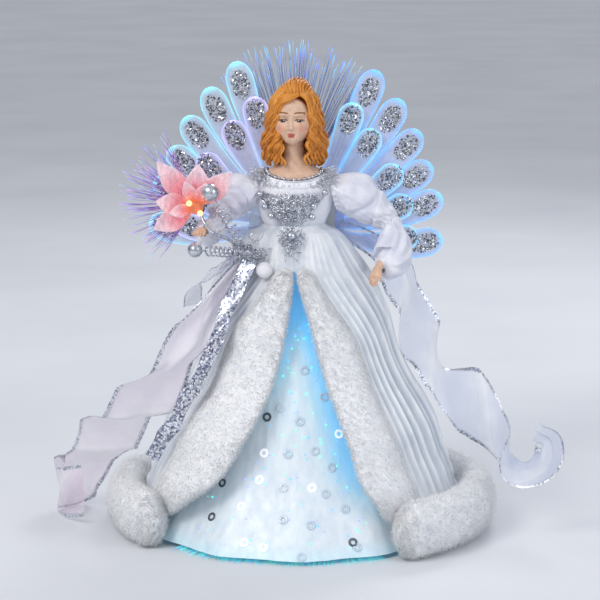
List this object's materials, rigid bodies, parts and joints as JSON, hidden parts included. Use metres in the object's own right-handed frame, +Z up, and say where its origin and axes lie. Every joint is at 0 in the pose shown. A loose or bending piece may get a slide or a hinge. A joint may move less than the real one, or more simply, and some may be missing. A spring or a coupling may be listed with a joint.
{
  "type": "angel tree topper",
  "caption": "Gowned doll tree topper on a hollow core, with acrylic wings, fibre light sprays, fur-edged skirt, lit bouquet, trailing ribbons and a colour-wheel lamp inside.",
  "frame": {"origin": "middle of the underside, on the plane that the base plate stands on", "axes": "+Z up, +X to the right as seen from the front, the doll faces -Y"},
  "size_m": [0.3493, 0.2347, 0.3321],
  "materials": {
    "satin": "white satin",
    "plush": "white plush pile",
    "silver_trim": "silver plated trim",
    "skin": "painted doll resin",
    "hair": "painted moulded hair",
    "acrylic": "clear acrylic with edge glow",
    "fibre": "clear light fibre",
    "petal": "translucent petals lit from behind",
    "bulb": "warm lit bulb",
    "organza": "sheer organza with wired edges",
    "white_plastic": "white moulded plastic",
    "dark_plastic": "dark moulded plastic",
    "steel": "plain steel",
    "pearl": "pearl lacquer",
    "gel_blue": "blue colour film",
    "gel_cyan": "cyan colour film",
    "gel_pink": "pink colour film",
    "gel_amber": "amber colour film"
  },
  "bodies": {
    "figure": {"base_plate": "white_plastic", "core_shell": "white_plastic", "tree_socket": "white_plastic", "light_housing": "white_plastic", "housing_cover": "white_plastic", "torso_form": "white_plastic", "wing_bracket": "white_plastic", "lead_grommet": "dark_plastic", "lamp_holder": "dark_plastic", "wheel_motor": "steel", "fibre_ferrule": "steel", "right_arm_wire": "steel", "lamp": "bulb", "flower_bulb_1": "bulb", "flower_bulb_2": "bulb", "fibre_trunk": "fibre", "halo_fibres": "fibre", "bouquet_fibres": "fibre", "hem_fibres": "fibre", "bodice": "satin", "right_puff_sleeve": "satin", "right_bell_cuff": "satin", "underskirt": "satin", "overskirt": "satin", "fur_hem": "plush", "fur_front_left": "plush", "fur_front_right": "plush", "head_bust": "skin", "right_hand": "skin", "hair": "hair", "collar_tinsel": "silver_trim", "collar_beads": "silver_trim", "bodice_brooch": "silver_trim", "waist_rosette": "silver_trim", "bouquet_knot": "silver_trim", "bouquet_stem": "silver_trim", "curl_wire_upper": "silver_trim", "curl_wire_lower": "silver_trim", "silver_ball_upper": "silver_trim", "silver_ball_lower": "silver_trim", "ribbon_lame": "silver_trim", "left_wing_front": "acrylic", "left_wing_rear": "acrylic", "right_wing_front": "acrylic", "right_wing_rear": "acrylic", "flower_petals": "petal", "pearl_ball": "pearl", "ribbon_bouquet_trail": "organza", "ribbon_back_trail": "organza", "ribbon_loop": "organza"},
    "wheel": {"wheel_spindle": "steel", "colour_wheel": "dark_plastic", "gel_blue": "gel_blue", "gel_cyan": "gel_cyan", "gel_pink": "gel_pink", "gel_amber": "gel_amber"},
    "left_arm": {"left_arm_wire": "steel", "left_puff_sleeve": "satin", "left_bell_cuff": "satin", "left_hand": "skin"}
  },
  "joints": [
    {"name": "colour_wheel_spin", "type": "hinge", "parent": "figure", "child": "wheel", "pos_m": [-0.006, 0, 0.1023], "axis": [0, 0, 1], "continuous": true},
    {"name": "left_arm_swing", "type": "hinge", "parent": "figure", "child": "left_arm", "pos_m": [0.02, 0, 0.23], "axis": [-1, 0, 0], "range_deg": [-8, 30]}
  ]
}
